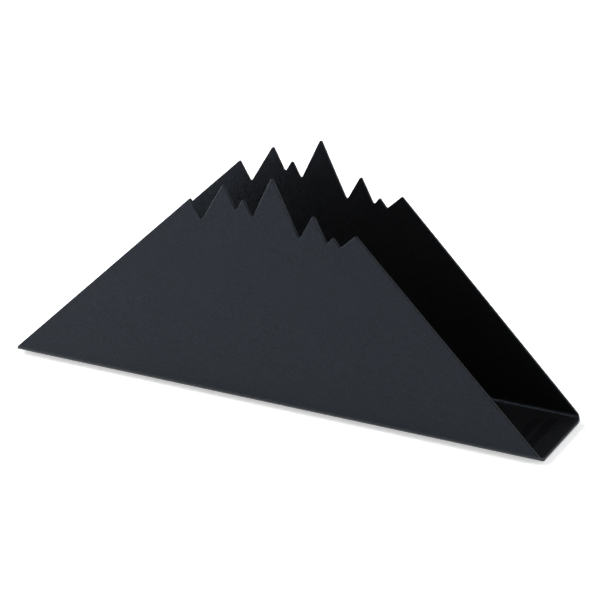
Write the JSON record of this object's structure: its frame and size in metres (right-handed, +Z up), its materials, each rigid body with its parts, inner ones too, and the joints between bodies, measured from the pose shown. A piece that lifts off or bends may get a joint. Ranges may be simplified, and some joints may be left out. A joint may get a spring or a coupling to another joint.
{
  "type": "napkin dispenser",
  "caption": "Upright napkin dispenser folded from one steel sheet, with a mountain outline on both walls; napkins stand in the tray between them.",
  "frame": {"origin": "on the table, under the middle of the tray", "axes": "+X along the tray, towards the end with the engraving; +Y towards the rear wall; +Z up"},
  "size_m": [0.22, 0.0428, 0.0939],
  "materials": {
    "powder_coat": "fine matte powder coat",
    "foot_rubber": "matte",
    "glue": "satin"
  },
  "bodies": {
    "root": {"folded_sheet": "powder_coat", "foot_front_left": "foot_rubber", "foot_front_right": "foot_rubber", "foot_rear_left": "foot_rubber", "foot_rear_right": "foot_rubber", "foot_glue_front_left": "glue", "foot_glue_front_right": "glue", "foot_glue_rear_left": "glue", "foot_glue_rear_right": "glue"}
  },
  "joints": []
}
